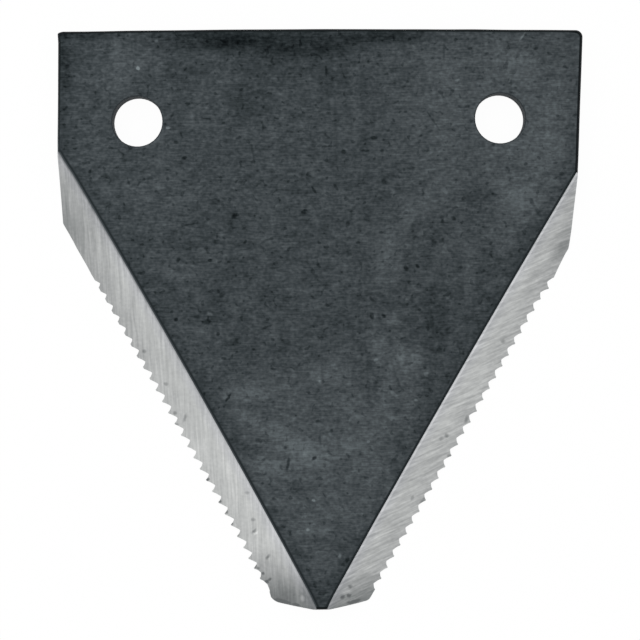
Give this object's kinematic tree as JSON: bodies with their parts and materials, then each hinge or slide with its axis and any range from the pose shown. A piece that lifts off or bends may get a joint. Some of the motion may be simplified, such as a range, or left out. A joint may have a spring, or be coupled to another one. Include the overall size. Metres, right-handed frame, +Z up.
{
  "type": "knife section",
  "caption": "Flat triangular steel cutting blade for a reciprocating knife bar, with bolt holes along its square back, ground bevels on both flanks and serrated edges.",
  "frame": {"origin": "midway between the two bolt holes, on the flat underside", "axes": "+Z up through the plate to the bevelled side, +Y towards the back edge, +X along the hole row; the nose points towards -Y"},
  "size_m": [0.0766, 0.0845, 0.003],
  "materials": {
    "blade_steel": "dark rolled faces, bright ground bevels"
  },
  "bodies": {
    "root": {"knife_section": "blade_steel"}
  },
  "joints": []
}
